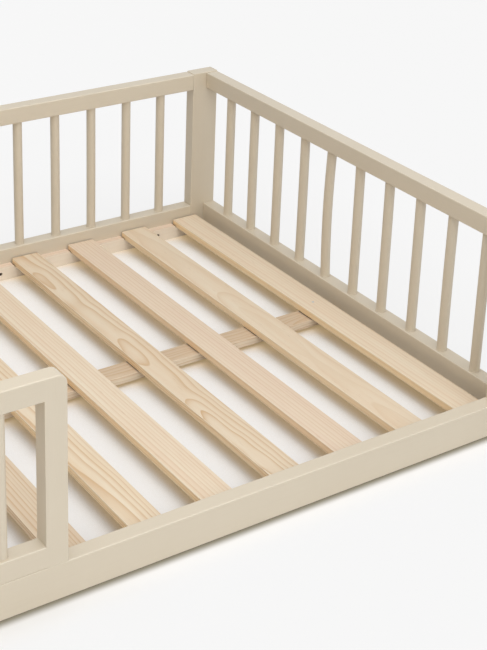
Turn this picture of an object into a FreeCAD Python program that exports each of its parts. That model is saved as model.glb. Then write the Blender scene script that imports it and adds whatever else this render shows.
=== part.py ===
import FreeCAD, Part
import os

# Toddler floor bed with a spindle rail on three sides, a guard on part of the
# front and a slatted base close to the floor.  Millimetres.
# +X runs along the bed, to the right as seen from its open front.
# +Y runs from the front to the back, +Z is up.
# The origin is on the floor, under the middle of the bed.

# ---- driving sizes -------------------------------------------------------

mattress_length = 1900.0
mattress_width = 900.0
mattress_clearance = 6.0       # room along each side of the mattress, both sides together

board = 27.0                   # thickness of every painted board
stile_width = 58.0             # corner stiles, seen from the front or the back
stile_proud = 1.5              # how far a stile stands above the top rails
panel_height = 350.0           # floor to the top of the top rails
bottom_rail_height = 58.0
top_rail_height = 33.0
edge_round = 2.0               # eased edges of the painted boards
end_bevel = 1.0                # bevel round a rail's ends, a fine groove at each joint

spindle_diameter = 18.0
socket_depth = 10.0            # how deep a spindle is let into its rails
socket_play = 0.1              # glue room round a spindle, on the radius
back_spindle_pitch = 81.0      # aimed at; a panel takes a whole number of gaps
back_spindle_margin = 72.0     # stile to the middle of the first spindle
end_spindle_pitch = 84.0
end_spindle_margin = 75.0

guard_entry = 794.0            # open front between the guard and the right-hand stile
guard_member = 34.0            # width of the four members of the guard's frame
guard_corner_radius = 15.0     # rounded top corner beside the entry
guard_spindle_pitch = 78.0
guard_spindle_margin = 61.0

slat_width = 56.0
slat_thickness = 14.0
slat_pitch = 125.0
slat_margin = 20.0             # right-hand end panel to the first slat
slat_end_gap = 3.0             # slat end to the long rail
slat_round = 1.5

bearer_thickness = 15.0
seat_height = 22.5             # floor to the underside of the slats
land_rise = 5.0                # how far a bearer stands up between two slats
land_round = 4.0               # rounded shoulders of those lands
notch_play = 1.0               # room on each side of a slat in its notch
bearer_overhang = 6.0          # bearer past the outermost slats

beam_width = 42.0
beam_height = 16.5
beam_offset = -14.0            # centre beam in front of the bed's middle line

tenon_thickness = 10.0
tenon_length = 22.0
tenon_shoulder = 6.0           # step above and below a tenon
tenon_play = 0.1

bolt_diameter = 6.0
bolt_hole_play = 0.5           # on the radius
bolt_head_diameter = 12.0
bolt_head_height = 3.5
bolt_sink = 1.0                # head below the face it is let into
bolt_tip = 8.0                 # thread past the middle of the nut
bolt_end_room = 1.0            # hole past the end of a bolt or a screw
barrel_diameter = 10.0
barrel_length = 14.0
barrel_setback = 30.0          # rail end to the middle of the barrel nut
thread_play = 0.1              # on the radius

guard_screw_pitch = 420.0      # aimed at, as for the spindles
guard_screw_margin = 110.0     # guard end to its first screw
guard_screw_seat = 22.0        # head seat above the underside of the front rail
guard_screw_bite = 24.0        # thread in the guard's bottom bar

bearer_screw_pitch = 362.0
bearer_screw_margin = 106.0    # right-hand bearer end to its first screw
screw_diameter = 4.0
screw_head_diameter = 8.0
screw_head_height = 2.6
screw_length = 32.0
screw_play = 0.1               # on the radius

# ---- sizes that follow ---------------------------------------------------

inner_length = mattress_length + mattress_clearance
inner_width = mattress_width + mattress_clearance
length = inner_length + 2 * board
width = inner_width + 2 * board

half_length = length / 2
half_width = width / 2
inner_half_length = inner_length / 2
inner_half_width = inner_width / 2
stile_inner = half_length - stile_width      # X of a stile's inner edge
stile_height = panel_height + stile_proud
top_rail_base = panel_height - top_rail_height

slat_length = inner_width - 2 * slat_end_gap
slat_top = seat_height + slat_thickness
spindle_radius = spindle_diameter / 2
bolt_radius = bolt_diameter / 2

guard_right = stile_inner - guard_entry
guard_left = -stile_inner
guard_base = bottom_rail_height
guard_inner_right = guard_right - guard_member
guard_inner_left = guard_left + guard_member
guard_sill = guard_base + guard_member
guard_lintel = panel_height - guard_member

parts_folder = "parts"
os.makedirs(parts_folder, exist_ok=True)

along_x = FreeCAD.Vector(1, 0, 0)
along_y = FreeCAD.Vector(0, 1, 0)
along_z = FreeCAD.Vector(0, 0, 1)


# ---- making solids -------------------------------------------------------

def block(x_range, y_range, z_range):
    """Rectangular bar between two coordinates on each axis."""
    x0, x1 = x_range
    y0, y1 = y_range
    z0, z1 = z_range
    return Part.makeBox(x1 - x0, y1 - y0, z1 - z0, FreeCAD.Vector(x0, y0, z0))


def middle(span):
    return (span[0] + span[1]) / 2


def rod(radius, start, direction, reach):
    """Round bar or hole from a point, along a direction."""
    return Part.makeCylinder(radius, reach, start, direction)


def edges_along(shape, axis):
    """Straight edges of a bar that run along an axis."""
    found = []
    for edge in shape.Edges:
        ends = edge.Vertexes
        if len(ends) == 2:
            run = ends[1].Point.sub(ends[0].Point)
            if run.cross(axis).Length < 1e-6:
                found.append(edge)
    return found


def eased(bar, axis, radius=edge_round):
    """Bar with the four edges along its length rounded."""
    return bar.makeFillet(radius, edges_along(bar, axis))


def with_bevelled_ends(bar, axis):
    """Bar with a bevel round both of its end faces."""
    rims = []
    for face in bar.Faces:
        flat = isinstance(face.Surface, Part.Plane)
        if flat and face.normalAt(0, 0).cross(axis).Length < 1e-6:
            rims += face.Edges
    return bar.makeChamfer(end_bevel, rims)


def ease_stile_head(stile):
    """Stile with the edges round its top end rounded as well."""
    head = [e for e in stile.Edges if min(v.Z for v in e.Vertexes) > stile_height - 1e-6]
    return stile.makeFillet(edge_round / 2, head)


def save(name, solids):
    """Write one node, from one solid or from a list of separate ones."""
    shape = solids if not isinstance(solids, list) else Part.makeCompound(solids)
    shape.exportStep(os.path.join(parts_folder, name + ".step"))


def spread(first, last, pitch):
    """Evenly spaced coordinates from first to last, at the pitch nearest to the one asked."""
    gaps = max(1, round((last - first) / pitch))
    step = (last - first) / gaps
    return [first + step * i for i in range(gaps + 1)]


def count_off(room, pitch):
    """How many fit in a run when one stands at its start and the rest follow at a pitch."""
    return int(room / pitch) + 1


# ---- spindles ------------------------------------------------------------

def spindles_between(spots, base, top):
    """Round spindles let into the rail below and the rail above."""
    reach = top - base + 2 * socket_depth
    made = []
    for x, y in spots:
        foot = FreeCAD.Vector(x, y, base - socket_depth)
        made.append(rod(spindle_radius, foot, along_z, reach))
    return made


def with_sockets(rail, spots, face, opens_up):
    """Rail with a blind socket for each spindle in its upper or lower face."""
    start = face - socket_depth if opens_up else face
    holes = []
    for x, y in spots:
        foot = FreeCAD.Vector(x, y, start)
        holes.append(rod(spindle_radius + socket_play, foot, along_z, socket_depth))
    return rail.cut(Part.makeCompound(holes))


# ---- tenon joints --------------------------------------------------------

def tenon(x_shoulder, outward, y_mid, z_range, play=0.0):
    """Tenon, or its mortise when it gets play, on a rail that runs along X."""
    half = tenon_thickness / 2 + play
    reach = tenon_length + play
    x_range = sorted((x_shoulder, x_shoulder + outward * reach))
    z_low = z_range[0] + tenon_shoulder - play
    z_high = z_range[1] - tenon_shoulder + play
    return block(x_range, (y_mid - half, y_mid + half), (z_low, z_high))


def with_tenons(rail, x_range, y_mid, z_range):
    """Rail with a tenon on each end."""
    left = tenon(x_range[0], -1, y_mid, z_range)
    right = tenon(x_range[1], 1, y_mid, z_range)
    return rail.fuse([left, right]).removeSplitter()


# ---- bolts and nuts ------------------------------------------------------

def cap_bolt(seat, direction, reach):
    """Low-head bolt; the seat is the underside of its head."""
    head = rod(bolt_head_diameter / 2, seat, direction * -1, bolt_head_height)
    shank = rod(bolt_radius, seat, direction, reach)
    return head.fuse(shank).removeSplitter()


def bolt_way(seat, direction, reach):
    """Room that a bolt needs: its shank hole and the recess for its head."""
    back = direction * -1
    hole = rod(bolt_radius + bolt_hole_play, seat, direction, reach)
    recess = rod(bolt_head_diameter / 2 + bolt_hole_play, seat, back, bolt_head_height + bolt_sink)
    return hole.fuse(recess)


class CornerJoint:
    """Knock-down joint of an end rail to a stile: a bolt and a barrel nut."""

    def __init__(self, side, end, z_range):
        self.side = side                     # +1 right-hand end panel, -1 left-hand
        self.end = end                       # +1 back stile, -1 front stile
        self.inward = along_y * -end
        seat_depth = bolt_head_height + bolt_sink
        x = side * (half_length - board / 2)
        z = middle(z_range)
        self.seat = FreeCAD.Vector(x, end * (half_width - seat_depth), z)
        self.shank = board - seat_depth + barrel_setback + bolt_tip
        self.nut_middle = FreeCAD.Vector(x, end * (inner_half_width - barrel_setback), z)

    def bolt(self):
        return cap_bolt(self.seat, self.inward, self.shank)

    def nut(self):
        start = self.nut_middle - along_x * (barrel_length / 2)
        body = rod(barrel_diameter / 2, start, along_x, barrel_length)
        entry = self.nut_middle - self.inward * barrel_diameter
        thread = rod(bolt_radius + thread_play, entry, self.inward, 2 * barrel_diameter)
        return body.cut(thread)

    def ways(self):
        """What is drilled for this joint: the bolt's way, and the nut's from the outer face."""
        outward = along_x * self.side
        bottom = self.nut_middle - outward * (barrel_length / 2)
        nut_way = rod(barrel_diameter / 2 + socket_play, bottom, outward, board)
        return [bolt_way(self.seat, self.inward, self.shank + bolt_end_room), nut_way]


bottom_range = (0.0, bottom_rail_height)
top_range = (top_rail_base, panel_height)
guard_sill_range = (guard_base, guard_sill)
guard_lintel_range = (guard_lintel, panel_height)

corner_joints = []
for side in (1, -1):
    for end in (1, -1):
        corner_joints.append(CornerJoint(side, end, bottom_range))
        corner_joints.append(CornerJoint(side, end, top_range))


def ways_of(side, end=None):
    """Drillings of the corner joints on one side, or on one corner of it."""
    found = []
    for joint in corner_joints:
        if joint.side == side and end in (None, joint.end):
            found += joint.ways()
    return found


# ---- back panel ----------------------------------------------------------

back_y = (inner_half_width, half_width)
front_y = (-half_width, -inner_half_width)
back_spindle_x = spread(-stile_inner + back_spindle_margin,
                        stile_inner - back_spindle_margin, back_spindle_pitch)
back_spots = [(x, middle(back_y)) for x in back_spindle_x]


def make_stile(side, end):
    """Corner stile: board upright, mortised for the long rails, drilled for the end rails."""
    x_range = sorted((side * stile_inner, side * half_length))
    y_range = back_y if end > 0 else front_y
    stile = eased(block(x_range, y_range, (0.0, stile_height)), along_z)
    stile = ease_stile_head(stile)
    cuts = ways_of(side, end)
    cuts.append(tenon(side * stile_inner, side, middle(y_range), bottom_range, tenon_play))
    if end > 0:
        cuts.append(tenon(side * stile_inner, side, middle(y_range), top_range, tenon_play))
    return stile.cut(Part.makeCompound(cuts))


def make_long_rail(y_range, z_range):
    """Rail along the bed, tenoned into the two stiles of its side."""
    x_range = (-stile_inner, stile_inner)
    rail = eased(block(x_range, y_range, z_range), along_x)
    rail = with_bevelled_ends(rail, along_x)
    return with_tenons(rail, x_range, middle(y_range), z_range)


save("back_top_rail", with_sockets(make_long_rail(back_y, top_range), back_spots,
                                   top_rail_base, False))


# ---- slats, bearers and centre beam --------------------------------------

slat_count = count_off(inner_length - 2 * slat_margin - slat_width, slat_pitch)
slat_right = [inner_half_length - slat_margin - slat_pitch * i for i in range(slat_count)]
slat_middle = [x - slat_width / 2 for x in slat_right]
bearer_right = slat_right[0] + bearer_overhang
bearer_left = slat_right[-1] - slat_width - bearer_overhang
first_screw = bearer_right - bearer_screw_margin
screw_count = count_off(first_screw - bearer_left - bearer_screw_margin, bearer_screw_pitch)
screw_x = [first_screw - bearer_screw_pitch * i for i in range(screw_count)]
screw_z = (seat_height + land_rise) / 2
beam_y = (beam_offset - beam_width / 2, beam_offset + beam_width / 2)


def bearer_screw(x, side):
    """Countersunk screw through a bearer into the long rail behind it."""
    face = side * (inner_half_width - bearer_thickness)
    mouth = FreeCAD.Vector(x, face, screw_z)
    outward = along_y * side
    head = Part.makeCone(screw_head_diameter / 2, screw_diameter / 2, screw_head_height,
                         mouth, outward)
    shank = rod(screw_diameter / 2, mouth, outward, screw_length)
    return head.fuse(shank).removeSplitter()


def bearer_screw_way(x, side):
    """Countersunk hole that the screw passes through, and its pilot in the rail."""
    face = side * (inner_half_width - bearer_thickness)
    mouth = FreeCAD.Vector(x, face, screw_z)
    outward = along_y * side
    head = Part.makeCone(screw_head_diameter / 2 + screw_play, screw_diameter / 2 + screw_play,
                         screw_head_height, mouth, outward)
    hole = rod(screw_diameter / 2 + screw_play, mouth, outward, screw_length + bolt_end_room)
    return head.fuse(hole)


def make_bearer(side):
    """Notched strip under the slat ends, with round-shouldered lands between the slats."""
    inner = side * (inner_half_width - bearer_thickness)
    y_range = sorted((inner, side * inner_half_width))
    strip = block((bearer_left, bearer_right), y_range, (0.0, seat_height + land_rise))
    notches = []
    for x in slat_middle:
        half = slat_width / 2 + notch_play
        notches.append(block((x - half, x + half), y_range,
                             (seat_height, seat_height + 2 * land_rise)))
    strip = strip.cut(Part.makeCompound(notches))
    shoulders = []
    for edge in edges_along(strip, along_y):
        at = edge.Vertexes[0].Point
        inside = bearer_left + 1.0 < at.x < bearer_right - 1.0
        if at.z > seat_height + land_rise - 1e-6 and inside:
            shoulders.append(edge)
    strip = strip.makeFillet(land_round, shoulders)
    return strip.cut(Part.makeCompound([bearer_screw_way(x, side) for x in screw_x]))


for number, right in enumerate(slat_right):
    slat = block((right - slat_width, right), (-slat_length / 2, slat_length / 2),
                 (seat_height, slat_top))
    save("slat_%02d" % (number + 1), eased(slat, along_y, slat_round))

save("centre_beam", block((slat_right[-1] - slat_width, slat_right[0]), beam_y,
                          (seat_height - beam_height, seat_height)))
save("back_slat_bearer", make_bearer(1))
save("front_slat_bearer", make_bearer(-1))
save("bearer_screws", [bearer_screw(x, side) for side in (1, -1) for x in screw_x])

back_bottom = with_sockets(make_long_rail(back_y, bottom_range), back_spots,
                           bottom_rail_height, True)
pilots = Part.makeCompound([bearer_screw_way(x, 1) for x in screw_x])
save("back_bottom_rail", back_bottom.cut(pilots))
save("back_spindles", spindles_between(back_spots, bottom_rail_height, top_rail_base))
save("back_right_stile", make_stile(1, 1))
save("back_left_stile", make_stile(-1, 1))


# ---- end panels ----------------------------------------------------------

def make_end_panel(name, side):
    """Top rail, bottom rail and spindles between the back and the front stile."""
    x_range = sorted((side * inner_half_length, side * half_length))
    y_range = (-inner_half_width, inner_half_width)
    spots = [(middle(x_range), y) for y in spread(-inner_half_width + end_spindle_margin,
                                                  inner_half_width - end_spindle_margin,
                                                  end_spindle_pitch)]
    drilled = Part.makeCompound(ways_of(side))
    top = with_bevelled_ends(eased(block(x_range, y_range, top_range), along_y), along_y)
    bottom = with_bevelled_ends(eased(block(x_range, y_range, bottom_range), along_y), along_y)
    save(name + "_top_rail", with_sockets(top, spots, top_rail_base, False).cut(drilled))
    save(name + "_bottom_rail",
         with_sockets(bottom, spots, bottom_rail_height, True).cut(drilled))
    save(name + "_spindles", spindles_between(spots, bottom_rail_height, top_rail_base))


make_end_panel("right_end", 1)
make_end_panel("left_end", -1)


# ---- front rail and guard ------------------------------------------------

guard_mid_y = middle(front_y)
guard_screw_x = spread(guard_left + guard_screw_margin, guard_right - guard_screw_margin,
                       guard_screw_pitch)
guard_screw_reach = bottom_rail_height - guard_screw_seat + guard_screw_bite
guard_spots = [(x, guard_mid_y) for x in spread(guard_inner_left + guard_spindle_margin,
                                                guard_inner_right - guard_spindle_margin,
                                                guard_spindle_pitch)]


def guard_screw_seat_at(x):
    return FreeCAD.Vector(x, guard_mid_y, guard_screw_seat)


def guard_screw_way(x):
    """Hole up through the front rail into the guard, and a recess from below for the head."""
    seat = guard_screw_seat_at(x)
    hole = rod(bolt_radius + thread_play, seat, along_z, guard_screw_reach + bolt_end_room)
    recess = rod(bolt_head_diameter / 2 + bolt_hole_play, seat, along_z * -1, guard_screw_seat)
    return hole.fuse(recess)


def make_free_stile():
    """Guard stile beside the entry, with its outer top corner rounded."""
    stile = block((guard_inner_right, guard_right), front_y, (guard_base, panel_height))
    corner = []
    for edge in edges_along(stile, along_y):
        at = edge.Vertexes[0].Point
        if at.x > guard_right - 1e-6 and at.z > panel_height - 1e-6:
            corner.append(edge)
    stile = stile.makeFillet(guard_corner_radius, corner)
    outline = []
    for edge in stile.Edges:
        at = edge.valueAt((edge.FirstParameter + edge.LastParameter) / 2)
        on_face = abs(abs(at.y - guard_mid_y) - board / 2) < 1e-6
        if on_face and at.x > guard_inner_right + 1e-6 and at.z > guard_base + 1e-6:
            outline.append(edge)
    stile = stile.makeFillet(edge_round, outline)
    cuts = []
    for z_range in (guard_sill_range, guard_lintel_range):
        cuts.append(tenon(guard_inner_right, 1, guard_mid_y, z_range, tenon_play))
    return stile.cut(Part.makeCompound(cuts))


def make_fixed_stile():
    """Guard stile against the left-hand corner stile."""
    stile = block((guard_left, guard_inner_left), front_y, (guard_base, panel_height))
    stile = eased(stile, along_z)
    cuts = []
    for z_range in (guard_sill_range, guard_lintel_range):
        cuts.append(tenon(guard_inner_left, -1, guard_mid_y, z_range, tenon_play))
    return stile.cut(Part.makeCompound(cuts))


def make_guard_bar(z_range):
    """Bar along X between the guard's stiles, tenoned into both."""
    x_range = (guard_inner_left, guard_inner_right)
    bar = eased(block(x_range, front_y, z_range), along_x)
    return with_tenons(bar, x_range, guard_mid_y, z_range)


guard_ways = Part.makeCompound([guard_screw_way(x) for x in guard_screw_x])
front_pilots = Part.makeCompound([bearer_screw_way(x, -1) for x in screw_x])
save("front_rail", make_long_rail(front_y, bottom_range).cut(guard_ways).cut(front_pilots))
save("front_right_stile", make_stile(1, -1))
save("front_left_stile", make_stile(-1, -1))

sill = with_sockets(make_guard_bar(guard_sill_range), guard_spots, guard_sill, True)
save("guard_bottom_bar", sill.cut(guard_ways))
save("guard_top_bar", with_sockets(make_guard_bar(guard_lintel_range), guard_spots,
                                   guard_lintel, False))
save("guard_free_stile", make_free_stile())
save("guard_fixed_stile", make_fixed_stile())
save("guard_spindles", spindles_between(guard_spots, guard_sill, guard_lintel))
save("guard_screws", [cap_bolt(guard_screw_seat_at(x), along_z, guard_screw_reach)
                      for x in guard_screw_x])

# ---- knock-down fasteners of the four corners ----------------------------

save("corner_bolts", [joint.bolt() for joint in corner_joints])
save("barrel_nuts", [joint.nut() for joint in corner_joints])
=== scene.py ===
import math
import random

import bmesh
import bpy
from mathutils import Matrix, Vector


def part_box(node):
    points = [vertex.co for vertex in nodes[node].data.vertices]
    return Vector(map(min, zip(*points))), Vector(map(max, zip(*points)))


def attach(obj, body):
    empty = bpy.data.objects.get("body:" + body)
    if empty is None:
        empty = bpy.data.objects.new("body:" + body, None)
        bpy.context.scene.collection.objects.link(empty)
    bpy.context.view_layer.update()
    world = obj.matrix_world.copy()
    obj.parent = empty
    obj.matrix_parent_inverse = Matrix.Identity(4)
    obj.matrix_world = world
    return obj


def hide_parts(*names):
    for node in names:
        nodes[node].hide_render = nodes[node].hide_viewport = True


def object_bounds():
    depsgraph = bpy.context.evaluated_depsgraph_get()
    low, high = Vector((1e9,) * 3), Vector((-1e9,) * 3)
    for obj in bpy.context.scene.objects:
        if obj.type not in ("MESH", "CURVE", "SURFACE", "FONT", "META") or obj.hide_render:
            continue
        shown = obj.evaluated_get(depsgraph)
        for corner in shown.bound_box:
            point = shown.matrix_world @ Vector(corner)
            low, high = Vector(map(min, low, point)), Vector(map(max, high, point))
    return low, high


# toddler floor bed: painted spindle panels, a spindle guard and loose pine slats
# X runs along the bed, Y from its open front to the back, Z up, all in metres

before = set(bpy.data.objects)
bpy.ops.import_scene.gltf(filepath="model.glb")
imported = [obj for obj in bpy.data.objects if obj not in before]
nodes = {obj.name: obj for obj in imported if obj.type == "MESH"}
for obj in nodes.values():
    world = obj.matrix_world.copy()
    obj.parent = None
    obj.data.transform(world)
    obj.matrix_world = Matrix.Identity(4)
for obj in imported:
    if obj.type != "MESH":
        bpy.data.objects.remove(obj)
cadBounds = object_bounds()
print("frame loaded:", len(nodes), "nodes")


# small helpers for node trees

def feed(tree, node, inputs):
    # sets each input to a plain value, or links it to a socket or a list of sockets
    for name, value in inputs.items():
        if isinstance(value, bpy.types.NodeSocket):
            value = [value]
        if isinstance(value, list):
            for socket in value:
                tree.links.new(socket, node.inputs[name])
        else:
            node.inputs[name].default_value = value


def addNode(tree, kind, inputs=None, **settings):
    node = tree.nodes.new(kind)
    for name, value in settings.items():
        setattr(node, name, value)
    feed(tree, node, inputs or {})
    return node


def out(tree, kind, inputs=None, output=0, **settings):
    # adds a node and gives one of its output sockets
    return addNode(tree, kind, inputs, **settings).outputs[output]


def sums(tree, operation, *values):
    return out(tree, "ShaderNodeMath", dict(enumerate(values)), operation=operation)


def vectors(tree, operation, *values):
    output = "Value" if operation in ("LENGTH", "DOT_PRODUCT") else "Vector"
    return out(tree, "ShaderNodeVectorMath", dict(enumerate(values)), output, operation=operation)


def scaled(tree, vector, factor):
    # by a number for each axis, or by one socket for all
    if isinstance(factor, bpy.types.NodeSocket):
        return out(tree, "ShaderNodeVectorMath", {0: vector, "Scale": factor}, operation="SCALE")
    return vectors(tree, "MULTIPLY", vector, factor)


def vectorOf(tree, x=0.0, y=0.0, z=0.0):
    return out(tree, "ShaderNodeCombineXYZ", {"X": x, "Y": y, "Z": z})


def partsOf(tree, vector):
    return addNode(tree, "ShaderNodeSeparateXYZ", {"Vector": vector}).outputs


def equal(tree, first, second):
    return out(tree, "FunctionNodeCompare", {2: first, 3: second}, data_type="INT",
               operation="EQUAL")


def noiseOf(tree, vector, scale, detail=3.0, roughness=0.5, output="Fac"):
    values = {"Vector": vector, "Scale": scale, "Detail": detail, "Roughness": roughness}
    return out(tree, "ShaderNodeTexNoise", values, output)


def streaksOf(tree, vector, stretch, scale, detail=3.0, roughness=0.5):
    # noise drawn out along Y
    return noiseOf(tree, scaled(tree, vector, (1.0, stretch, 1.0)), scale, detail, roughness)


def wobble(tree, vector, scale, detail=2.0, roughness=0.5):
    # a noise vector that pushes as far one way as the other
    noise = noiseOf(tree, vector, scale, detail, roughness, "Color")
    return vectors(tree, "SUBTRACT", noise, (0.5, 0.5, 0.5))


def remap(tree, value, low, high, toLow=0.0, toHigh=1.0, smooth=False):
    values = {"Value": value, "From Min": low, "From Max": high, "To Min": toLow, "To Max": toHigh}
    kind = "SMOOTHSTEP" if smooth else "LINEAR"
    return out(tree, "ShaderNodeMapRange", values, "Result", interpolation_type=kind)


def blendColour(tree, factor, first, second, mode="MIX"):
    # the colour sockets of a Mix node are its inputs 6 and 7 and its output 2
    return out(tree, "ShaderNodeMix", {0: factor, 6: first, 7: second}, 2, data_type="RGBA",
               blend_type=mode)


def openness(tree, reach, samples):
    # 1 on a free face, less where something stands nearer than reach
    return out(tree, "ShaderNodeAmbientOcclusion", {"Distance": reach}, "AO", samples=samples)


def facing(tree):
    # how far a face looks up or down, and how far along the axis that it looks along most
    normal = out(tree, "ShaderNodeTexCoord", output="Normal")
    x, y, z = partsOf(tree, vectors(tree, "ABSOLUTE", normal))
    return z, sums(tree, "MAXIMUM", x, sums(tree, "MAXIMUM", y, z))


def rgb(red, green, blue):
    # a colour written as it looks on screen, 0 to 255
    def linear(channel):
        c = channel / 255
        return c / 12.92 if c <= 0.04045 else ((c + 0.055) / 1.055) ** 2.4
    return (linear(red), linear(green), linear(blue), 1.0)


def newMaterial(name):
    material = bpy.data.materials.new(name)
    material.use_nodes = True
    tree = material.node_tree
    tree.nodes.clear()
    surface = addNode(tree, "ShaderNodeBsdfPrincipled")
    addNode(tree, "ShaderNodeOutputMaterial", {"Surface": surface.outputs[0]},
            is_active_output=True)
    return material, tree, surface


def bumped(tree, surface, *layers):
    # each layer is a height and how deep it goes, and lies over the one before
    inputs = {"Strength": 1.0}
    for height, depth in layers:
        inputs.update({"Height": height, "Distance": depth})
        inputs["Normal"] = out(tree, "ShaderNodeBump", inputs)
    feed(tree, surface, {"Normal": inputs["Normal"]})


# painted boards and dowels

paint = {
    "colour": rgb(213, 201, 180),
    "wornAndHighlight": rgb(234, 227, 211),
    "deep": rgb(197, 183, 159),
    "roughness": 0.38,
    "specular": 0.6,
    "mottle": 0.11,          # how much the sprayed coat varies over a hand's width
    "mottleScale": 9.0,
    "pores": 0.09,           # how much the pores of the wood darken it
    "haze": 0.08,            # how much its fibres lighten it
    "grainStretch": 0.035,   # how drawn out pores and fibres are along the board
    "grainScale": 260.0,
    "fibreScale": 1100.0,
    "grainShow": 0.00004,    # grain that telegraphs through the paint, metres
    "fibreShow": 0.000014,
    "peel": 0.00002,         # orange peel of the coat
    "peelScale": 620.0,
    "arris": 0.20,           # lighter eased edges: partly a thinner, rubbed coat, partly a painted highlight
    "rubScale": 34.0,
}


def paintMaterial(name, along, flatFaces=True):
    material, tree, surface = newMaterial(name)
    space = out(tree, "ShaderNodeTexCoord", output="Object")
    grain = scaled(tree, space, tuple(paint["grainStretch"] if axis == along else 1.0
                                      for axis in "XYZ"))
    mottle = noiseOf(tree, space, paint["mottleScale"], 3.0, 0.55)
    pores = noiseOf(tree, grain, paint["grainScale"], 4.0, 0.6)
    fibre = noiseOf(tree, grain, paint["fibreScale"], 3.0, 0.6)
    peel = noiseOf(tree, space, paint["peelScale"], 2.0)

    shade = sums(tree, "MULTIPLY", remap(tree, mottle, 0.35, 0.65), paint["mottle"])
    colour = blendColour(tree, shade, paint["colour"], paint["deep"])
    dark = remap(tree, pores, 0.30, 0.46, paint["pores"], 0.0)
    colour = blendColour(tree, dark, colour, paint["deep"])
    haze = remap(tree, fibre, 0.5, 0.8, 0.0, paint["haze"])
    colour = blendColour(tree, haze, colour, paint["wornAndHighlight"])

    if flatFaces:
        # a face that looks along no axis is an eased edge, lightened partly as a thin, rubbed coat
        # and partly as a painted highlight
        edge = remap(tree, facing(tree)[1], 0.99, 0.90, smooth=True)
        rub = noiseOf(tree, space, paint["rubScale"], 4.0, 0.6)
        edgeWearAndHighlight = sums(tree, "MULTIPLY", edge, remap(tree, rub, 0.35, 0.70, 0.7, 1.0))
        edgeWearAndHighlight = sums(tree, "MULTIPLY", edgeWearAndHighlight, paint["arris"])
        colour = blendColour(tree, edgeWearAndHighlight, colour, paint["wornAndHighlight"])

    gloss = remap(tree, mottle, 0.3, 0.7, paint["roughness"] - 0.04, paint["roughness"] + 0.05)
    feed(tree, surface, {"Base Color": colour, "Roughness": gloss,
                         "Specular IOR Level": paint["specular"]})
    bumped(tree, surface, (pores, paint["grainShow"]), (fibre, paint["fibreShow"]),
           (peel, paint["peel"]))
    return material


paintAlong = {axis: paintMaterial("sandPaint" + axis, axis) for axis in "XYZ"}
dowelPaint = paintMaterial("dowelPaint", "Z", flatFaces=False)
print("paint ready")


# pine

pine = {
    "early": rgb(235, 221, 198),
    "late": rgb(199, 157, 106),
    "pink": rgb(229, 206, 188),
    "honey": rgb(229, 206, 169),
    "resin": rgb(168, 120, 76),
    "sawnAndLitSides": (1.15, 1.03, 0.80, 1.0),     # how the rougher narrow faces differ from the planed ones, partly as sawn wood and partly as painted light that warms and lightens them
    # painted shade where two pieces of wood stand close together, and how far it reaches
    "creviceShade": rgb(92, 68, 48),
    "creviceShadeReach": 0.005,
    # pale tone of the painted highlight on rounded edges and of the painted light on the bearer's
    # upright faces
    "arris": rgb(246, 232, 210),
    "aged": rgb(186, 160, 130),
    "roughness": 0.60,
    "specular": 0.30,
    "ringWidth": 0.0055,
    "uneven": 2.4,           # how far thick and thin years shift the rings, in rings
    "unevenScale": 42.0,
    "darkening": 0.25,       # when in a year the ring begins to darken
    "stop": 0.93,            # and when it stops
    "wander": 0.032,         # how far the rings of a wild board wander off a true circle
    "wanderScale": (7.0, 4.0, 7.0),
    "fibreScale": 1300.0,
    "bandScale": 75.0,
    "fleckScale": 620.0,
    "relief": 0.00008,       # latewood stands up a little after planing
    "fibreRelief": 0.000072,
}

# what each board keeps of its log, besides its place in it
logMarks = ("Tone", "Contrast", "Wild", "Age")


def pineFigure(tree, log, tone, contrast, wild):
    # yearly rings round the pith, which runs along Y of the log's own space
    warp = wobble(tree, scaled(tree, log, pine["wanderScale"]), 1.0, 2.0, 0.45)
    warp = scaled(tree, warp, sums(tree, "MULTIPLY", wild, pine["wander"]))
    x, y, z = partsOf(tree, vectors(tree, "ADD", log, warp))
    radius = vectors(tree, "LENGTH", vectorOf(tree, x=x, z=z))
    shift = out(tree, "ShaderNodeTexNoise",
                {"W": sums(tree, "MULTIPLY", radius, pine["unevenScale"]), "Scale": 1.0,
                 "Detail": 1.0}, "Fac", noise_dimensions="1D")
    years = sums(tree, "DIVIDE", radius, pine["ringWidth"])
    years = sums(tree, "ADD", years, sums(tree, "MULTIPLY", shift, pine["uneven"]))
    phase = sums(tree, "FRACT", years)
    # earlywood darkens slowly into latewood and then stops short
    rise = sums(tree, "POWER", remap(tree, phase, pine["darkening"], pine["stop"]), 2.2)
    fall = remap(tree, phase, pine["stop"], 1.0, 1.0, 0.0, smooth=True)
    year = out(tree, "ShaderNodeTexWhiteNoise", {"W": sums(tree, "FLOOR", years)}, "Value",
               noise_dimensions="1D")
    ring = sums(tree, "MULTIPLY", sums(tree, "MULTIPLY", rise, fall),
                remap(tree, year, 0.0, 1.0, 0.40, 1.0))

    fibre = streaksOf(tree, log, 0.014, pine["fibreScale"], 3.0, 0.65)
    band = streaksOf(tree, log, 0.06, pine["bandScale"])
    flecks = remap(tree, streaksOf(tree, log, 0.05, pine["fleckScale"], 1.0), 0.70, 0.80)

    early = blendColour(tree, tone, pine["pink"], pine["honey"])
    share = sums(tree, "MULTIPLY", remap(tree, band, 0.3, 0.7, 0.30, 0.95),
                 remap(tree, tone, 0.0, 0.4, 0.35, 1.0))
    early = blendColour(tree, share, early, pine["early"])
    colour = blendColour(tree, sums(tree, "MULTIPLY", ring, contrast), early, pine["late"])
    streaks = remap(tree, fibre, 0.28, 0.62, 0.10, 0.0)
    colour = blendColour(tree, streaks, colour, pine["late"])
    colour = blendColour(tree, sums(tree, "MULTIPLY", flecks, 0.30), colour, pine["resin"])
    return colour, ring, fibre


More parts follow.
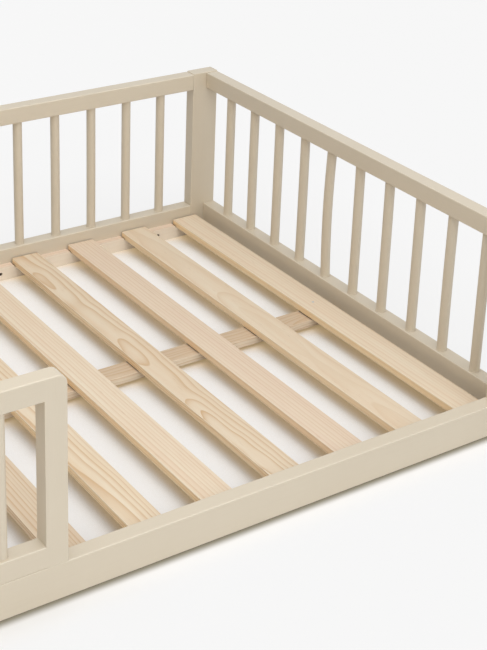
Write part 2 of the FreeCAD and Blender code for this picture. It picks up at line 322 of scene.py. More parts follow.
def finishPine(tree, surface, colour, ring, fibre, age, sawnAndLitSides=1.0, paintedSideLight=0.0):
    level, most = facing(tree)
    # upright faces take the sawn tint, which is partly painted light and fades as the wood ages
    upright = remap(tree, level, 0.30, 0.05)
    sideTintShare = remap(tree, age, 0.0, 0.5, sawnAndLitSides, 0.0)
    colour = blendColour(tree, sums(tree, "MULTIPLY", upright, sideTintShare), colour, pine["sawnAndLitSides"],
                         "MULTIPLY")
    # painted light: upright faces lightened towards the pale edge tone
    colour = blendColour(tree, sums(tree, "MULTIPLY", upright, paintedSideLight), colour, pine["arris"])
    flat = remap(tree, upright, 0.0, 1.0, 1.0, 0.15)
    colour = blendColour(tree, sums(tree, "MULTIPLY", age, flat), colour, pine["aged"])
    # painted highlight: rounded edges lightened towards the pale tone
    edge = remap(tree, most, 0.985, 0.88, 0.0, 0.5, smooth=True)
    colour = blendColour(tree, edge, colour, pine["arris"])
    # painted shade: a dark line where two pieces of wood meet, darker the closer they stand
    line = remap(tree, openness(tree, pine["creviceShadeReach"], 6), 0.55, 0.10, 0.0, 0.8)
    colour = blendColour(tree, line, colour, pine["creviceShade"])
    dull = remap(tree, ring, 0.0, 1.0, pine["roughness"], pine["roughness"] - 0.10)
    feed(tree, surface, {"Base Color": colour, "Roughness": dull,
                         "Specular IOR Level": pine["specular"]})
    bumped(tree, surface, (ring, pine["relief"]), (fibre, pine["fibreRelief"]))


def slatMaterial():
    # reads where in its log each slat was sawn from what its mesh stores
    material, tree, surface = newMaterial("slatPine")
    log = out(tree, "ShaderNodeAttribute", output="Vector", attribute_name="logSpace")
    tone, contrast, wild, age = [out(tree, "ShaderNodeAttribute", output="Fac",
                                     attribute_name="log" + mark) for mark in logMarks]
    finishPine(tree, surface, *pineFigure(tree, log, tone, contrast, wild), age)
    return material


bearer = {
    "pith": (0.5, 0.0, 0.03),            # where the pith of its log lies
    "turn": (0.02, 0.0, math.pi / 2 + 0.01),
    "tone": 0.05,
    "contrast": 0.35,
    "wild": 0.3,
    "paintedSideLight": 0.75,            # how much paler its upright faces are, as painted light
}


def bearerMaterial():
    # pine strip along X
    material, tree, surface = newMaterial("bearerPine")
    space = out(tree, "ShaderNodeTexCoord", output="Object")
    log = out(tree, "ShaderNodeMapping", {"Vector": space, "Location": bearer["pith"],
                                          "Rotation": bearer["turn"]})
    figure = pineFigure(tree, log, bearer["tone"], bearer["contrast"], bearer["wild"])
    finishPine(tree, surface, *figure, 0.0, sawnAndLitSides=0.0, paintedSideLight=bearer["paintedSideLight"])
    return material


slatPine = slatMaterial()
bearerPine = bearerMaterial()
print("pine ready")


# metal

metal = {
    "zinc": rgb(205, 207, 209),
    "zincRoughness": 0.34,
    "dark": rgb(96, 84, 72),
    "darkRoughness": 0.48,
    "clouding": 0.72,        # tone of the duller spots
    "cloudScale": 900.0,
    "scratch": 0.000012,
    "scratchScale": 4200.0,
}


def metalMaterial(name, colour, roughness):
    material, tree, surface = newMaterial(name)
    space = out(tree, "ShaderNodeTexCoord", output="Object")
    cloud = noiseOf(tree, space, metal["cloudScale"], 3.0, 0.6)
    scratch = streaksOf(tree, space, 0.15, metal["scratchScale"], 2.0)
    dull = tuple(c * metal["clouding"] for c in colour[:3]) + (1.0,)
    colour = blendColour(tree, remap(tree, cloud, 0.35, 0.65), dull, colour)
    feed(tree, surface, {"Base Color": colour, "Metallic": 1.0,
                         "Roughness": remap(tree, cloud, 0.3, 0.7, roughness - 0.07,
                                            roughness + 0.08)})
    bumped(tree, surface, (scratch, metal["scratch"]))
    return material


zincSteel = metalMaterial("zincSteel", metal["zinc"], metal["zincRoughness"])
darkSteel = metalMaterial("darkSteel", metal["dark"], metal["darkRoughness"])
print("metal ready")


# materials on the carried-over nodes, with the grain along the longest side

def dress(name, material):
    mesh = nodes[name].data
    mesh.materials.clear()
    mesh.materials.append(material)


for nodeName in sorted(nodes):
    if nodeName.endswith(("_rail", "_bar", "_stile")):
        nodeLow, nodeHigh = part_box(nodeName)
        nodeSides = tuple(nodeHigh - nodeLow)
        dress(nodeName, paintAlong["XYZ"[nodeSides.index(max(nodeSides))]])
    elif nodeName.endswith("_bearer"):
        dress(nodeName, bearerPine)
print("nodes dressed")


# geometry nodes

def newTree(name, sizes, given=None):
    # an empty tree with one named input for each size, after the geometry that it is given
    kinds = {float: "NodeSocketFloat", int: "NodeSocketInt", tuple: "NodeSocketVector",
             bpy.types.Material: "NodeSocketMaterial"}
    tree = bpy.data.node_groups.new(name, "GeometryNodeTree")
    if given:
        tree.interface.new_socket(given, in_out="INPUT", socket_type="NodeSocketGeometry")
    for label, value in sizes.items():
        kind = next(k for t, k in kinds.items() if isinstance(value, t))
        tree.interface.new_socket(label, in_out="INPUT", socket_type=kind)
    tree.interface.new_socket("Geometry", in_out="OUTPUT", socket_type="NodeSocketGeometry")
    return tree, addNode(tree, "NodeGroupInput").outputs


def closeTree(tree, geometry, finish):
    # real meshes with their finish, as the export needs them
    solid = out(tree, "GeometryNodeRealizeInstances", {"Geometry": geometry})
    dressed = out(tree, "GeometryNodeSetMaterial", {"Geometry": solid, "Material": finish})
    addNode(tree, "NodeGroupOutput", {"Geometry": dressed})


def marked(tree, geometry, name, value, kind="FLOAT", domain="POINT"):
    return out(tree, "GeometryNodeStoreNamedAttribute",
               {"Geometry": geometry, "Name": name, "Value": value}, data_type=kind,
               domain=domain)


def sweep(tree, curve, sides, radius):
    # a round solid along a curve, as thick as the curve's own radius says at each point
    section = out(tree, "GeometryNodeCurvePrimitiveCircle",
                  {"Resolution": sides, "Radius": radius}, mode="RADIUS")
    return out(tree, "GeometryNodeCurveToMesh",
               {"Curve": curve, "Profile Curve": section, "Fill Caps": True,
                "Scale": out(tree, "GeometryNodeInputRadius")})


def place(name, data):
    thing = bpy.data.objects.new(name, data)
    bpy.context.scene.collection.objects.link(thing)
    return thing


def grow(name, tree, sizes, points=()):
    # runs a tree with its sizes and keeps the result as a plain mesh
    seedMesh = bpy.data.meshes.new(name + "Seed")
    seedMesh.from_pydata(list(points), [], [])
    maker = place(name + "Maker", seedMesh)
    modifier = maker.modifiers.new("grow", "NODES")
    modifier.node_group = tree
    for item in tree.interface.items_tree:
        if item.in_out == "INPUT" and item.name in sizes:
            modifier[item.identifier] = sizes[item.name]
    maker.update_tag()
    graph = bpy.context.evaluated_depsgraph_get()
    mesh = bpy.data.meshes.new_from_object(maker.evaluated_get(graph))
    mesh.name = name
    bpy.data.objects.remove(maker)
    return place(name, mesh)


def keep(piece, slot, *replaced):
    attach(piece, "root")
    if replaced:
        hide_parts(*replaced)
    return piece


# spindles

spindle = {
    "sides": 28,
    "rings": 144,            # many, so that the collars are round
    "collar": 0.0007,        # paint that gathers where a dowel enters its rail
    "collarHeight": 0.0022,
    "ripple": 0.00020,       # how far the dowel is from a true cylinder
    "rippleScale": 60.0,
    "lean": 0.0005,          # how far the middle of any dowel may be out of line
    "pitch": {"back": 0.081, "right_end": 0.084, "left_end": 0.084, "guard": 0.078},
    "bent": {"right_end": 5},            # which dowel of a panel is plainly bowed
    "bend": 0.0045,
}


def spindleTree():
    tree, given = newTree("spindleRow", {
        "Count": 1, "First": (0.0, 0.0, 0.0), "Step": (0.0, 0.0, 0.0), "Length": 1.0,
        "Radius": 1.0, "Foot": 1.0, "Head": 1.0, "Bend": 1.0, "Bent": 1, "Finish": dowelPaint})
    line = out(tree, "GeometryNodeCurvePrimitiveLine",
               {"End": vectorOf(tree, z=given["Length"])})
    line = out(tree, "GeometryNodeResampleCurve", {"Curve": line, "Count": spindle["rings"]})
    height = partsOf(tree, out(tree, "GeometryNodeInputPosition"))[2]
    near = [sums(tree, "ABSOLUTE", sums(tree, "SUBTRACT", height, given[end]))
            for end in ("Foot", "Head")]
    collar = remap(tree, sums(tree, "MINIMUM", *near), 0.0, spindle["collarHeight"],
                   spindle["collar"], 0.0, smooth=True)
    shaped = out(tree, "GeometryNodeSetCurveRadius",
                 {"Curve": line, "Radius": sums(tree, "ADD", given["Radius"], collar)})
    row = out(tree, "GeometryNodeMeshLine",
              {"Count": given["Count"], "Start Location": given["First"],
               "Offset": given["Step"]}, mode="OFFSET")
    placed = out(tree, "GeometryNodeInstanceOnPoints",
                 {"Points": row, "Instance": sweep(tree, shaped, spindle["sides"], 1.0)})
    placed = marked(tree, placed, "dowelNumber", out(tree, "GeometryNodeInputIndex"), "INT",
                    "INSTANCE")
    solid = out(tree, "GeometryNodeRealizeInstances", {"Geometry": placed})

    # each dowel is a little out of true, and one is plainly bowed
    where = out(tree, "GeometryNodeInputPosition")
    number = out(tree, "GeometryNodeInputNamedAttribute", {"Name": "dowelNumber"},
                 data_type="INT")
    level = sums(tree, "SUBTRACT", partsOf(tree, where)[2], partsOf(tree, given["First"])[2])
    share = sums(tree, "DIVIDE", level, given["Length"])
    belly = sums(tree, "SINE", sums(tree, "MULTIPLY", share, math.pi))
    lean = spindle["lean"]
    chance = out(tree, "FunctionNodeRandomValue",
                 {"Min": (-lean, -lean, 0.0), "Max": (lean, lean, 0.0), "ID": number, "Seed": 7},
                 data_type="FLOAT_VECTOR")
    bend = sums(tree, "MULTIPLY", equal(tree, number, given["Bent"]), given["Bend"])
    bow = scaled(tree, vectors(tree, "NORMALIZE", given["Step"]), bend)
    drift = scaled(tree, vectors(tree, "ADD", chance, bow), belly)
    spot = scaled(tree, vectors(tree, "ADD", where, (0.37, 0.11, 0.0)), (1.0, 1.0, 0.25))
    ripple = scaled(tree, wobble(tree, spot, spindle["rippleScale"]),
                    (spindle["ripple"], spindle["ripple"], 0.0))
    moved = out(tree, "GeometryNodeSetPosition",
                {"Geometry": solid, "Offset": vectors(tree, "ADD", drift, ripple)})
    closeTree(tree, out(tree, "GeometryNodeSetShadeSmooth", {0: moved}), given["Finish"])
    return tree


spindleRow = spindleTree()


def makeSpindles(panel):
    node = panel + "_spindles"
    member = "bar" if panel == "guard" else "rail"
    low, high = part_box(node)
    along = 0 if high.x - low.x > high.y - low.y else 1
    thick = high[1 - along] - low[1 - along]
    first = Vector(((low.x + high.x) / 2, (low.y + high.y) / 2, low.z))
    first[along] = low[along] + thick / 2
    run = high[along] - low[along] - thick
    gaps = round(run / spindle["pitch"][panel])
    step = Vector((0.0, 0.0, 0.0))
    step[along] = run / gaps
    piece = grow(panel + "_dowels", spindleRow, {
        "Count": gaps + 1, "First": tuple(first), "Step": tuple(step), "Length": high.z - low.z,
        "Radius": thick / 2, "Foot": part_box(panel + "_bottom_" + member)[1].z - low.z,
        "Head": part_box(panel + "_top_" + member)[0].z - low.z, "Bend": spindle["bend"],
        "Bent": spindle["bent"].get(panel, -1), "Finish": dowelPaint})
    return keep(piece, "sand_paint", node)


for panelName in spindle["pitch"]:
    makeSpindles(panelName)
print("spindles made")


# slats

slat = {
    "corner": 0.0016,        # rounding of the planed edges
    "cornerSteps": 4,
    "rings": 60,
    "bow": 0.0007,
    "twist": 0.012,          # radians from the middle to an end
    "wave": 0.00024,         # how far the planed faces are from flat
    "waveScale": 22.0,
    "apart": 1.7,            # from slat to slat along the log, so that none repeats another
}

# how the slats in view were sawn: side distance to the pith, depth to it, tilt of the pith in
# millimetres per metre, tone from pink to honey, contrast of the rings, how wild the rings run,
# how far the wood has darkened
slatLogs = {
    1: (0.046, 0.035, 3, 0.50, 0.36, 0.12, 0.02),
    2: (0.006, 0.060, 20, 0.55, 0.30, 0.55, 0.12),
    3: (0.060, 0.040, 2, 0.17, 0.46, 0.08, 0.08),
    4: (0.014, 0.026, 10, 0.60, 0.85, 1.00, 0.16),
    5: (0.048, 0.026, 4, 0.40, 0.50, 0.12, 0.02),
    6: (0.026, 0.034, 7, 0.75, 0.85, 0.50, 0.06),
    7: (0.050, 0.022, 4, 0.45, 0.95, 0.15, 0.32),
}

# the same values for the other slats lie between these
otherLogs = ((0.0, 0.05), (0.02, 0.06), (2, 16), (0.1, 0.9), (0.35, 0.75), (0.1, 0.6), (0.0, 0.12))

beam = {
    "shrink": 0.0016,        # the beam has dried away from the slats, which leaves a dark line
    "corner": 0.0008,
    "log": (0.020, 0.022, 3, 0.38, 0.85, 0.95, 0.56),
    "start": 40.0,           # its place along the log
}


def slatTree():
    tree, given = newTree("slatBoard", {
        "Width": 1.0, "Length": 1.0, "Thickness": 1.0, "Corner": 1.0, "Centre": (0.0, 0.0, 0.0),
        "Pith": (0.0, 0.0, 0.0), "Tilt": 1.0, "Tone": 1.0, "Contrast": 1.0, "Wild": 1.0,
        "Age": 1.0, "Bow": 1.0, "Twist": 1.0, "Turn": (0.0, 0.0, 0.0), "Finish": slatPine})
    half = sums(tree, "MULTIPLY", given["Length"], 0.5)
    start = vectorOf(tree, y=sums(tree, "MULTIPLY", half, -1.0))
    line = out(tree, "GeometryNodeCurvePrimitiveLine",
               {"Start": start, "End": vectorOf(tree, y=half)})
    line = out(tree, "GeometryNodeResampleCurve", {"Curve": line, "Count": slat["rings"]})
    section = out(tree, "GeometryNodeCurvePrimitiveQuadrilateral",
                  {"Width": given["Width"], "Height": given["Thickness"]})
    section = out(tree, "GeometryNodeFilletCurve",
                  {"Curve": section, "Count": slat["cornerSteps"], "Radius": given["Corner"]},
                  mode="POLY")
    board = out(tree, "GeometryNodeCurveToMesh",
                {"Curve": line, "Fill Caps": True, "Profile Curve": section})

    # the board's place in its log: the pith leans by Tilt along the board
    where = out(tree, "GeometryNodeInputPosition")
    x, y, z = partsOf(tree, where)
    inLog = vectors(tree, "ADD", where, given["Pith"])
    lean = vectorOf(tree, z=sums(tree, "MULTIPLY", y, given["Tilt"]))
    board = marked(tree, board, "logSpace", vectors(tree, "ADD", inLog, lean), "FLOAT_VECTOR")
    for mark in logMarks:
        board = marked(tree, board, "log" + mark, given[mark])

    # a loose board bows and twists a little, and its planed faces are not quite flat
    share = sums(tree, "DIVIDE", y, half)
    arch = sums(tree, "SUBTRACT", sums(tree, "MULTIPLY", share, share), 1.0)
    arch = sums(tree, "MULTIPLY", arch, given["Bow"])
    twist = sums(tree, "MULTIPLY", sums(tree, "MULTIPLY", x, share), given["Twist"])
    lift = vectorOf(tree, z=sums(tree, "SUBTRACT", twist, arch))
    wave = scaled(tree, wobble(tree, inLog, slat["waveScale"], 3.0),
                  (slat["wave"], 0.0, slat["wave"]))
    moved = out(tree, "GeometryNodeSetPosition",
                {"Geometry": board, "Offset": vectors(tree, "ADD", lift, wave)})
    moved = out(tree, "GeometryNodeTransform", {"Geometry": moved, "Rotation": given["Turn"],
                                                "Translation": given["Centre"]})
    closeTree(tree, moved, given["Finish"])
    return tree


slatBoard = slatTree()


def sawBoard(name, node, box, log, start, across=0, **more):
    # across is the axis of the board's width, and start its place along the log
    low, high = box
    side, depth, tilt, *marks = log
    piece = grow(name, slatBoard, {
        "Width": high[across] - low[across], "Length": high[1 - across] - low[1 - across],
        "Thickness": high.z - low.z, "Centre": tuple((low + high) / 2),
        "Pith": (side, start, depth), "Tilt": tilt / 1000, **dict(zip(logMarks, marks)),
        "Turn": (0.0, 0.0, across * math.pi / 2), "Finish": slatPine, **more})
    # the long faces are smooth, and the sawn ends, which have many corners, stay flat
    for polygon in piece.data.polygons:
        polygon.use_smooth = len(polygon.vertices) == 4
    return keep(piece, "pine", node)


def makeSlat(number):
    node = "slat_%02d" % number
    chance = random.Random(40 + number)
    guess = [chance.uniform(*limits) for limits in otherLogs]
    return sawBoard("slat_board_%02d" % number, node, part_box(node),
                    slatLogs.get(number, guess), slat["apart"] * number, Corner=slat["corner"],
                    Bow=chance.uniform(0.0, slat["bow"]),
                    Twist=chance.uniform(-1, 1) * slat["twist"])


def makeBeam():
    low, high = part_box("centre_beam")
    high.z -= beam["shrink"]
    return sawBoard("beam_strip", "centre_beam", (low, high), beam["log"], beam["start"],
                    across=1, Corner=beam["corner"])


slatNumbers = [int(name[5:]) for name in sorted(nodes) if name.startswith("slat_")]
for slatNumber in slatNumbers:
    makeSlat(slatNumber)
makeBeam()
print("slats and beam made")


# screws, bolts and nuts: each size is an input of the fastener's tree

bolt = {
    "Sides": 32,
    "Head Height": 0.0035,
    "Chamfer": 0.0006,
    "Tip": 0.0010,
    "Drive": 0.0023,         # hexagon socket, middle to corner
    "Drive Depth": 0.0022,
    "Pitch": 0.0010,
    "Thread": 0.032,         # threaded length
    "Crest": 0.00032,
}

woodScrew = {
    "Sides": 28,
    "Radius": 0.0015,
    "Head Radius": 0.0030,
    "Head Height": 0.0024,
    "Chamfer": 0.0003,
    "Tip": 0.0050,
    "Point": 0.0002,
    "Drive": 0.0034,         # length and width of the cross recess
    "Drive Width": 0.0008,
    "Drive Depth": 0.0014,
    "Pitch": 0.0018,
    "Thread": 0.018,
    "Crest": 0.00040,
}
screwSunk = 0.0012           # how deep a screw's head lies in its countersink

barrelNut = {
    "Sides": 40,
    "Chamfer": 0.0005,
    "Drive Width": 0.0012,   # slot that shows which way the bore points
    "Drive Depth": 0.0018,
    "Bore": 0.00305,
}

nail = {
    "Sides": 28,
    "Length": 0.0140,
    "Radius": 0.0009,
    "Head Radius": 0.0025,
    "Head Height": 0.0007,
    "Chamfer": 0.0002,
    "Tip": 0.002,
    "Point": 0.0002,
}
nailProud = 0.0005
nailBehind = 0.0115          # from the beam's middle line towards the back

shoulderStep = 0.00002       # a head's underside is a very short cone
taperShare = 0.8             # how much of its length a bolt's tip or a nail's crown tapers
threadSteps = 14


def turned(tree, sides, profile):
    # a turned solid along Z, from the place and radius of each corner of its outline
    line = out(tree, "GeometryNodeMeshLine", {"Count": len(profile), "Offset": (0, 0, 0.01)},
               mode="OFFSET")
    index = out(tree, "GeometryNodeInputIndex")
    places, radii = 0.0, 0.0
    for number, (height, radius) in enumerate(profile):
        here = equal(tree, index, number)
        places = sums(tree, "MULTIPLY_ADD", here, height, places)
        radii = sums(tree, "MULTIPLY_ADD", here, radius, radii)
    curve = out(tree, "GeometryNodeMeshToCurve", {"Mesh": line})
    curve = out(tree, "GeometryNodeSetPosition",
                {"Geometry": curve, "Position": vectorOf(tree, z=places)})
    curve = out(tree, "GeometryNodeSetCurveRadius", {"Curve": curve, "Radius": radii})
    return sweep(tree, curve, sides, 1.0)


def cutOut(tree, solid, tools):
    return out(tree, "GeometryNodeMeshBoolean", {"Mesh 1": solid, "Mesh 2": tools},
               operation="DIFFERENCE", solver="EXACT")


def threaded(tree, given, body, taper):
    # the body with a ridge wound round it, up to where its tip begins to taper
    turns = sums(tree, "DIVIDE", given["Thread"], given["Pitch"])
    spiral = out(tree, "GeometryNodeCurveSpiral",
                 {"Resolution": threadSteps, "Rotations": turns, "Start Radius": given["Radius"],
                  "End Radius": given["Radius"], "Height": given["Thread"]})
    start = vectorOf(tree, z=sums(tree, "SUBTRACT", taper, given["Thread"]))
    ridge = out(tree, "GeometryNodeTransform",
                {"Geometry": sweep(tree, spiral, 3, given["Crest"]), "Translation": start})
    return out(tree, "GeometryNodeJoinGeometry", {0: [body, ridge]})


def slotsAcross(tree, given, turns):
    depth = sums(tree, "MULTIPLY", given["Drive Depth"], 2.0)
    size = vectorOf(tree, given["Drive"], given["Drive Width"], depth)
    return [out(tree, "GeometryNodeTransform",
                {"Geometry": out(tree, "GeometryNodeMeshCube", {"Size": size}),
                 "Rotation": (0.0, 0.0, turn)}) for turn in turns]


def boltSolid(tree, given):
    under = given["Head Height"]
    rim = sums(tree, "SUBTRACT", given["Head Radius"], given["Chamfer"])
    shoulder = sums(tree, "ADD", under, shoulderStep)
    taper = sums(tree, "SUBTRACT", given["Length"], given["Tip"])
    point = sums(tree, "SUBTRACT", given["Radius"],
                 sums(tree, "MULTIPLY", given["Tip"], taperShare))
    body = turned(tree, given["Sides"], [
        (0.0, rim), (given["Chamfer"], given["Head Radius"]), (under, given["Head Radius"]),
        (shoulder, given["Radius"]), (taper, given["Radius"]), (given["Length"], point)])
    depth = sums(tree, "MULTIPLY", given["Drive Depth"], 2.0)
    socket = out(tree, "GeometryNodeMeshCylinder",
                 {"Vertices": 6, "Radius": given["Drive"], "Depth": depth})
    return threaded(tree, given, cutOut(tree, body, [socket]), taper)


def screwSolid(tree, given):
    taper = sums(tree, "SUBTRACT", given["Length"], given["Tip"])
    body = turned(tree, given["Sides"], [
        (0.0, given["Head Radius"]), (given["Chamfer"], given["Head Radius"]),
        (given["Head Height"], given["Radius"]), (taper, given["Radius"]),
        (given["Length"], given["Point"])])
    body = cutOut(tree, body, slotsAcross(tree, given, (0.0, math.pi / 2)))
    return threaded(tree, given, body, taper)


def nutSolid(tree, given):
    rim = sums(tree, "SUBTRACT", given["Radius"], given["Chamfer"])
    last = sums(tree, "SUBTRACT", given["Length"], given["Chamfer"])
    body = turned(tree, given["Sides"], [
        (0.0, rim), (given["Chamfer"], given["Radius"]), (last, given["Radius"]),
        (given["Length"], rim)])
    across = out(tree, "GeometryNodeMeshCylinder",
                 {"Vertices": 32, "Radius": given["Bore"],
                  "Depth": sums(tree, "MULTIPLY", given["Radius"], 4.0)})
    middle = vectorOf(tree, z=sums(tree, "MULTIPLY", given["Length"], 0.5))
    bore = out(tree, "GeometryNodeTransform",
               {"Geometry": across, "Rotation": (math.pi / 2, 0.0, 0.0), "Translation": middle})
    return cutOut(tree, body, slotsAcross(tree, given, (0.0,)) + [bore])


def nailSolid(tree, given):
    crown = sums(tree, "MULTIPLY", given["Head Radius"], taperShare)
    under = given["Head Height"]
    shoulder = sums(tree, "ADD", under, shoulderStep)
    taper = sums(tree, "SUBTRACT", given["Length"], given["Tip"])
    return turned(tree, given["Sides"], [
        (0.0, crown), (given["Chamfer"], given["Head Radius"]), (under, given["Head Radius"]),
        (shoulder, given["Radius"]), (taper, given["Radius"]),
        (given["Length"], given["Point"])])


def setFasteners(name, solidOf, seats, axis, way, sizes, finish, roll=0.0, pivot="AUTO"):
    # one copy at each seat, pointing along the axis, away from the bed's middle where way is 1
    sizes = dict(sizes, Aim=tuple(float(i == axis) for i in range(3)), Way=float(way), Roll=roll,
                 Finish=finish)
    tree, given = newTree(name, sizes, "Seats")
    side = vectors(tree, "DOT_PRODUCT", out(tree, "GeometryNodeInputPosition"), given["Aim"])
    side = sums(tree, "MULTIPLY", sums(tree, "SIGN", side), given["Way"])
    pointed = out(tree, "FunctionNodeAlignRotationToVector",
                  {"Vector": scaled(tree, given["Aim"], side)}, axis="Z", pivot_axis=pivot)
    chance = out(tree, "FunctionNodeRandomValue", {2: 0.0, 3: math.tau, "Seed": 11}, 1,
                 data_type="FLOAT")
    rolled = out(tree, "FunctionNodeRotateRotation",
                 {"Rotation": pointed,
                  "Rotate By": vectorOf(tree, z=sums(tree, "MULTIPLY", chance, given["Roll"]))},
                 rotation_space="LOCAL")
    placed = out(tree, "GeometryNodeInstanceOnPoints",
                 {"Points": given["Seats"], "Instance": solidOf(tree, given),
                  "Rotation": rolled})
    closeTree(tree, placed, given["Finish"])
    return grow(name, tree, sizes, seats)


def solidBoxes(node):
    # the box round each separate solid of a node
    work = bmesh.new()
    work.from_mesh(nodes[node].data)
    bmesh.ops.remove_doubles(work, verts=work.verts, dist=0.000001)
    left = set(work.verts)
    boxes = []
    while left:
        heap = [left.pop()]
        group = []
        while heap:
            vert = heap.pop()
            group.append(vert.co.copy())
            for edge in vert.link_edges:
                other = edge.other_vert(vert)
                if other in left:
                    left.remove(other)
                    heap.append(other)
        boxes.append((Vector([min(c[i] for c in group) for i in range(3)]),
                      Vector([max(c[i] for c in group) for i in range(3)])))
    work.free()
    return sorted(boxes, key=lambda box: tuple(round(c, 5) for c in box[0]))


def sizesAlong(node, axis):
    # length along the axis and radius of the first solid of a node
    low, high = solidBoxes(node)[0]
    return high[axis] - low[axis], (high[(axis + 1) % 3] - low[(axis + 1) % 3]) / 2


def makeFasteners(name, node, solidOf, axis, way, sizes, finish, sunk=0.0, **more):
    # sets one fastener at the head end of each solid of the node
    seats = []
    for low, high in solidBoxes(node):
        seat = (low + high) / 2
        ends = sorted((low[axis], high[axis]), key=abs)
        seat[axis] = ends[0] if way > 0 else ends[1]
        seat[axis] += math.copysign(sunk, seat[axis])
        seats.append(seat)
    piece = setFasteners(name, solidOf, seats, axis, way, sizes, finish, **more)
    for polygon in piece.data.polygons:
        polygon.use_smooth = False
    return keep(piece, "zinc_steel", node)


def makeBolts(name, node, axis, way):
    length, head = sizesAlong(node, axis)
    sizes = dict(bolt, Length=length, Radius=head / 2 - bolt["Crest"])
    sizes["Head Radius"] = head
    makeFasteners(name, node, boltSolid, axis, way, sizes, zincSteel, roll=1.0)


def makeScrews():
    length = sizesAlong("bearer_screws", 1)[0]
    makeFasteners("countersunk_screws", "bearer_screws", screwSolid, 1, 1,
                  dict(woodScrew, Length=length - screwSunk), darkSteel, screwSunk, roll=1.0)


def makeNuts():
    length, radius = sizesAlong("barrel_nuts", 0)
    makeFasteners("slotted_barrel_nuts", "barrel_nuts", nutSolid, 0, -1,
                  dict(barrelNut, Length=length, Radius=radius, Drive=radius * 3), zincSteel,
                  pivot="Y")


def makeNails():
    # one nail through each of the outermost slats into the beam
    beamLow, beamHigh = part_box("centre_beam")
    seats = []
    for number in (slatNumbers[0], slatNumbers[-1]):
        low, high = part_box("slat_%02d" % number)
        seats.append(Vector(((low.x + high.x) / 2, (beamLow.y + beamHigh.y) / 2 + nailBehind,
                             high.z + nailProud)))
    keep(setFasteners("beam_nails", nailSolid, seats, 2, -1, nail, zincSteel), "zinc_steel")


makeBolts("connector_bolts", "corner_bolts", 1, -1)
makeBolts("guard_bolts", "guard_screws", 2, 1)
makeScrews()
makeNuts()
makeNails()
print("fasteners made")


# camera

camera = {
    "place": (-0.6813, -1.9968, 1.3402),
    "azimuth": 34.44,        # degrees from +Y towards +X
    "elevation": 20.745,
    "roll": 1.907,
    "sensor": 36.0,
    "lens": 83.33,
    "shift": (0.0315, -0.300),
    "reach": 60.0,
}


def makeCamera():
    data = bpy.data.cameras.new("camera")
    data.sensor_width = camera["sensor"]
    data.lens = camera["lens"]
    data.shift_x, data.shift_y = camera["shift"]
    data.clip_end = camera["reach"]
    turn, dip, roll = [math.radians(camera[key]) for key in ("azimuth", "elevation", "roll")]
    ahead = Vector((math.sin(turn) * math.cos(dip), math.cos(turn) * math.cos(dip),
                    -math.sin(dip)))
    right = Vector((math.cos(turn), -math.sin(turn), 0.0))
    down = ahead.cross(right)
    rolledRight = right * math.cos(roll) - down * math.sin(roll)
    rolledDown = right * math.sin(roll) + down * math.cos(roll)
    axes = Matrix((rolledRight, -rolledDown, -ahead)).transposed()
    view = place("camera", data)
    view.matrix_world = Matrix.Translation(camera["place"]) @ axes.to_4x4()
    bpy.context.scene.camera = view


makeCamera()


# floor and light

studio = {
    "white": 0.93,           # the backdrop as the camera and shiny things see it
    "sky": 0.44,             # and as a light on the bed
    "floorBounce": 0.80,     # what the floor throws back onto the bed
    "floorRoughness": 0.9,
    "floorReach": 14.0,
    "floorLevel": 0.505,     # light on the floor far from the softboxes
    "floorPool": 0.616,      # and how much more it gets in the middle of their pool
    "poolReach": 3.31,
    "poolMiddle": (0.055, -1.08, 0.0),
    "board": 0.027,          # thickness of the boards that stand on the floor
    "contact": 0.32,         # tone of the painted contact shadow where the boards stand on the floor
    "contactTint": (1.0, 1.04, 1.14),    # how much red, green and blue that takes away
    "contactReach": 0.018,
    "contactInset": 0.002,   # how far the contact line reaches under the boards
    "shade": (0.66, 0.58, 0.48, 1.0),    # tone that the floor takes on beside and under the slats
    "shadeReach": 0.090,
    "shadeRange": (0.68, 0.30),          # openness where the shade begins and where it is full
    "glow": 0.26,            # warm light that the slats and the floor throw between them
    "glowColour": (1.0, 0.72, 0.36),
    "glowReach": 0.040,
    "glowRange": (0.62, 0.28),
    "lift": 0.75,            # how much the studio lifts the bed's shadow outside its outline
    "liftStart": 0.010,
    "liftReach": 0.070,
}

# long or square softboxes: place, aim, width, height, power
softboxes = {
    "overhead": ((-0.2, -0.9, 3.0), (-0.2, -0.9, 0.0), 3.0, 3.0, 60.0),
    "front": ((0.1, -2.1, 1.3), (0.1, -0.1, 0.1), 3.2, 1.2, 9.0),
}

# a wide, even fill from the front: level, degrees towards the right, height and spread
fill = {"level": 0.68, "turn": 10.0, "rise": 12.0, "spread": 75.0}


def evenWhite(tree, space):
    # the floor's tone evens out the pool of the softboxes, as a retouched studio floor does
    away = vectors(tree, "LENGTH", vectors(tree, "SUBTRACT", space, studio["poolMiddle"]))
    share = sums(tree, "POWER", sums(tree, "DIVIDE", away, studio["poolReach"]), 2.0)
    fall = sums(tree, "POWER", sums(tree, "ADD", share, 1.0), -2.0)
    light = sums(tree, "ADD", sums(tree, "MULTIPLY", fall, studio["floorPool"]),
                 studio["floorLevel"])
    return sums(tree, "DIVIDE", studio["white"], light)


def outsideBed(tree, space):
    # how far a point of the floor is outside the bed's outline, negative inside
    high = cadBounds[1]
    x, y, z = partsOf(tree, vectors(tree, "ABSOLUTE", space))
    return sums(tree, "MAXIMUM", sums(tree, "SUBTRACT", x, high[0]),
                sums(tree, "SUBTRACT", y, high[1]))


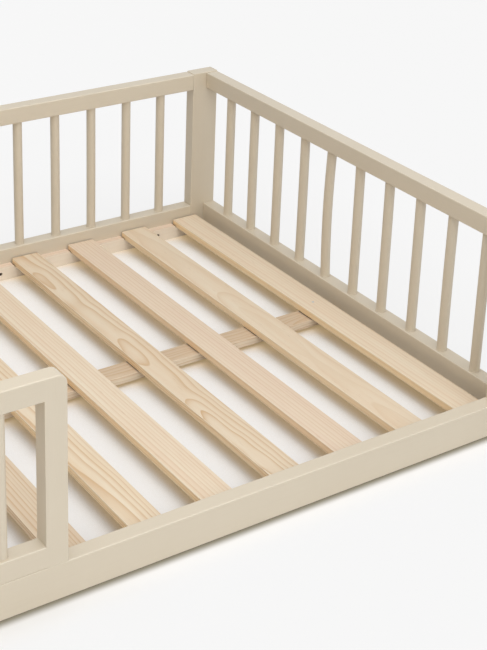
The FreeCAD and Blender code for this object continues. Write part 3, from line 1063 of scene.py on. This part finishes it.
def makeFloor():
    mesh = bpy.data.meshes.new("floor")
    reach = studio["floorReach"]
    corners = [(x * reach, y * reach, 0.0) for x, y in ((-1, -1), (1, -1), (1, 1), (-1, 1))]
    mesh.from_pydata(corners, [], [(0, 1, 2, 3)])
    floor = place("floor", mesh)
    material, tree, surface = newMaterial("paleFloor")
    space = out(tree, "ShaderNodeTexCoord", output="Object")
    seen = out(tree, "ShaderNodeLightPath", output="Is Camera Ray")
    away = outsideBed(tree, space)

    # painted contact shadow: a dark, warm line along the foot of the boards
    outside = sums(tree, "GREATER_THAN", away, -studio["contactInset"])
    line = remap(tree, away, 0.0, studio["contactReach"], 1.0, 0.0, smooth=True)
    line = sums(tree, "MULTIPLY", sums(tree, "MULTIPLY", line, outside), seen)
    depth = 1.0 - studio["contact"]
    footShadow = tuple(1.0 - depth * tint for tint in studio["contactTint"]) + (1.0,)
    white = blendColour(tree, line, (1.0, 1.0, 1.0, 1.0), footShadow)

    # a wide, warm shade between the slats
    inside = sums(tree, "MULTIPLY", sums(tree, "LESS_THAN", away, -studio["board"]), seen)
    wide = remap(tree, openness(tree, studio["shadeReach"], 8), *studio["shadeRange"])
    white = blendColour(tree, sums(tree, "MULTIPLY", wide, inside), white, studio["shade"])

    # the camera sees the floor evenly white, and its tone gives way to the lift outside
    level = out(tree, "ShaderNodeMix", {"Factor": seen, "A": studio["floorBounce"],
                                        "B": evenWhite(tree, space)})
    lift = remap(tree, away, studio["liftStart"], studio["liftReach"], 0.0, studio["lift"],
                 smooth=True)
    lift = sums(tree, "MULTIPLY", lift, seen)
    tone = scaled(tree, white,
                  sums(tree, "MULTIPLY", level, sums(tree, "SUBTRACT", 1.0, lift)))

    # warm light under the slats, and the lifted shadow outside
    near = remap(tree, openness(tree, studio["glowReach"], 8), *studio["glowRange"])
    glow = sums(tree, "MULTIPLY", sums(tree, "MULTIPLY", near, inside), studio["glow"])
    light = vectors(tree, "ADD", scaled(tree, studio["glowColour"], glow),
                    sums(tree, "MULTIPLY", lift, studio["white"]))
    feed(tree, surface, {"Base Color": tone, "Emission Color": light, "Emission Strength": 1.0,
                         "Roughness": studio["floorRoughness"], "Specular IOR Level": 0.0})
    mesh.materials.append(material)


def addLamp(name, kind, source, **settings):
    # source points from what is lit towards the lamp
    data = bpy.data.lights.new(name, kind)
    for setting, value in settings.items():
        setattr(data, setting, value)
    lamp = place(name, data)
    lamp.rotation_euler = source.to_track_quat("Z", "Y").to_euler()
    return lamp


def makeLight():
    world = bpy.data.worlds.new("studio")
    bpy.context.scene.world = world
    world.use_nodes = True
    tree = world.node_tree
    tree.nodes.clear()
    rays = addNode(tree, "ShaderNodeLightPath").outputs
    shiny = sums(tree, "MAXIMUM", rays["Is Glossy Ray"], rays["Is Transmission Ray"])
    seen = sums(tree, "MAXIMUM", rays["Is Camera Ray"], shiny)
    level = remap(tree, seen, 0.0, 1.0, studio["sky"], studio["white"])
    sky = out(tree, "ShaderNodeBackground", {"Color": (1.0, 1.0, 1.0, 1.0), "Strength": level})
    addNode(tree, "ShaderNodeOutputWorld", {"Surface": sky})

    for name, (spot, aim, width, height, power) in softboxes.items():
        softbox = addLamp(name, "AREA", Vector(spot) - Vector(aim), shape="RECTANGLE",
                          size=width, size_y=height, energy=power)
        softbox.location = spot
        softbox.visible_camera = False

    turn, rise = math.radians(fill["turn"]), math.radians(fill["rise"])
    source = Vector((math.sin(turn) * math.cos(rise), -math.cos(turn) * math.cos(rise),
                     math.sin(rise)))
    addLamp("fill", "SUN", source, energy=fill["level"], angle=math.radians(fill["spread"]))


makeFloor()
makeLight()
bpy.context.scene.view_settings.view_transform = "Standard"
print("camera, floor and light ready")
